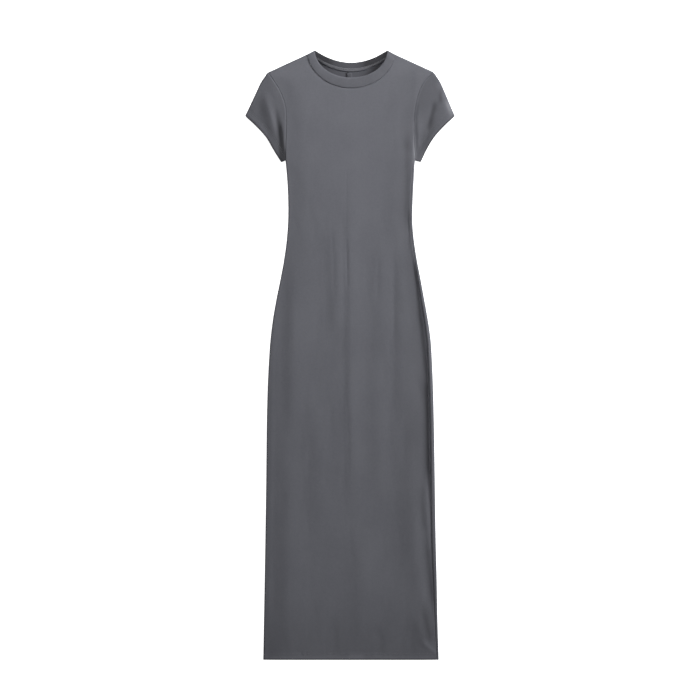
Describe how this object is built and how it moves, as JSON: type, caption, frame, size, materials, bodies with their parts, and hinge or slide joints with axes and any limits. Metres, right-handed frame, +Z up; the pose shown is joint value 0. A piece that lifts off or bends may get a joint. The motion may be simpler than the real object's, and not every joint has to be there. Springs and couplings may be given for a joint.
{
  "type": "short-sleeve dress",
  "caption": "Long narrow jersey dress with short set-in sleeves and a round neckband, laid out flat on its back with its front upwards.",
  "frame": {"origin": "bottom centre of the whole dress as it lies, on the plane that it rests on", "axes": "+Y along the dress towards the neck, +X to the right seen from above with the neck at the top, +Z up, away from the surface"},
  "size_m": [0.4612, 1.3422, 0.0069],
  "materials": {
    "front": "soft matt jersey with a faint sheen",
    "back_left": "soft matt jersey with a faint sheen",
    "back_right": "soft matt jersey with a faint sheen",
    "sleeve_left": "soft matt jersey with a faint sheen",
    "sleeve_right": "soft matt jersey with a faint sheen",
    "neckband": "soft matt jersey with a faint sheen"
  },
  "bodies": {
    "root": {"front": "front", "back_left": "back_left", "back_right": "back_right", "sleeve_left": "sleeve_left", "sleeve_right": "sleeve_right", "neckband": "neckband"}
  },
  "joints": []
}
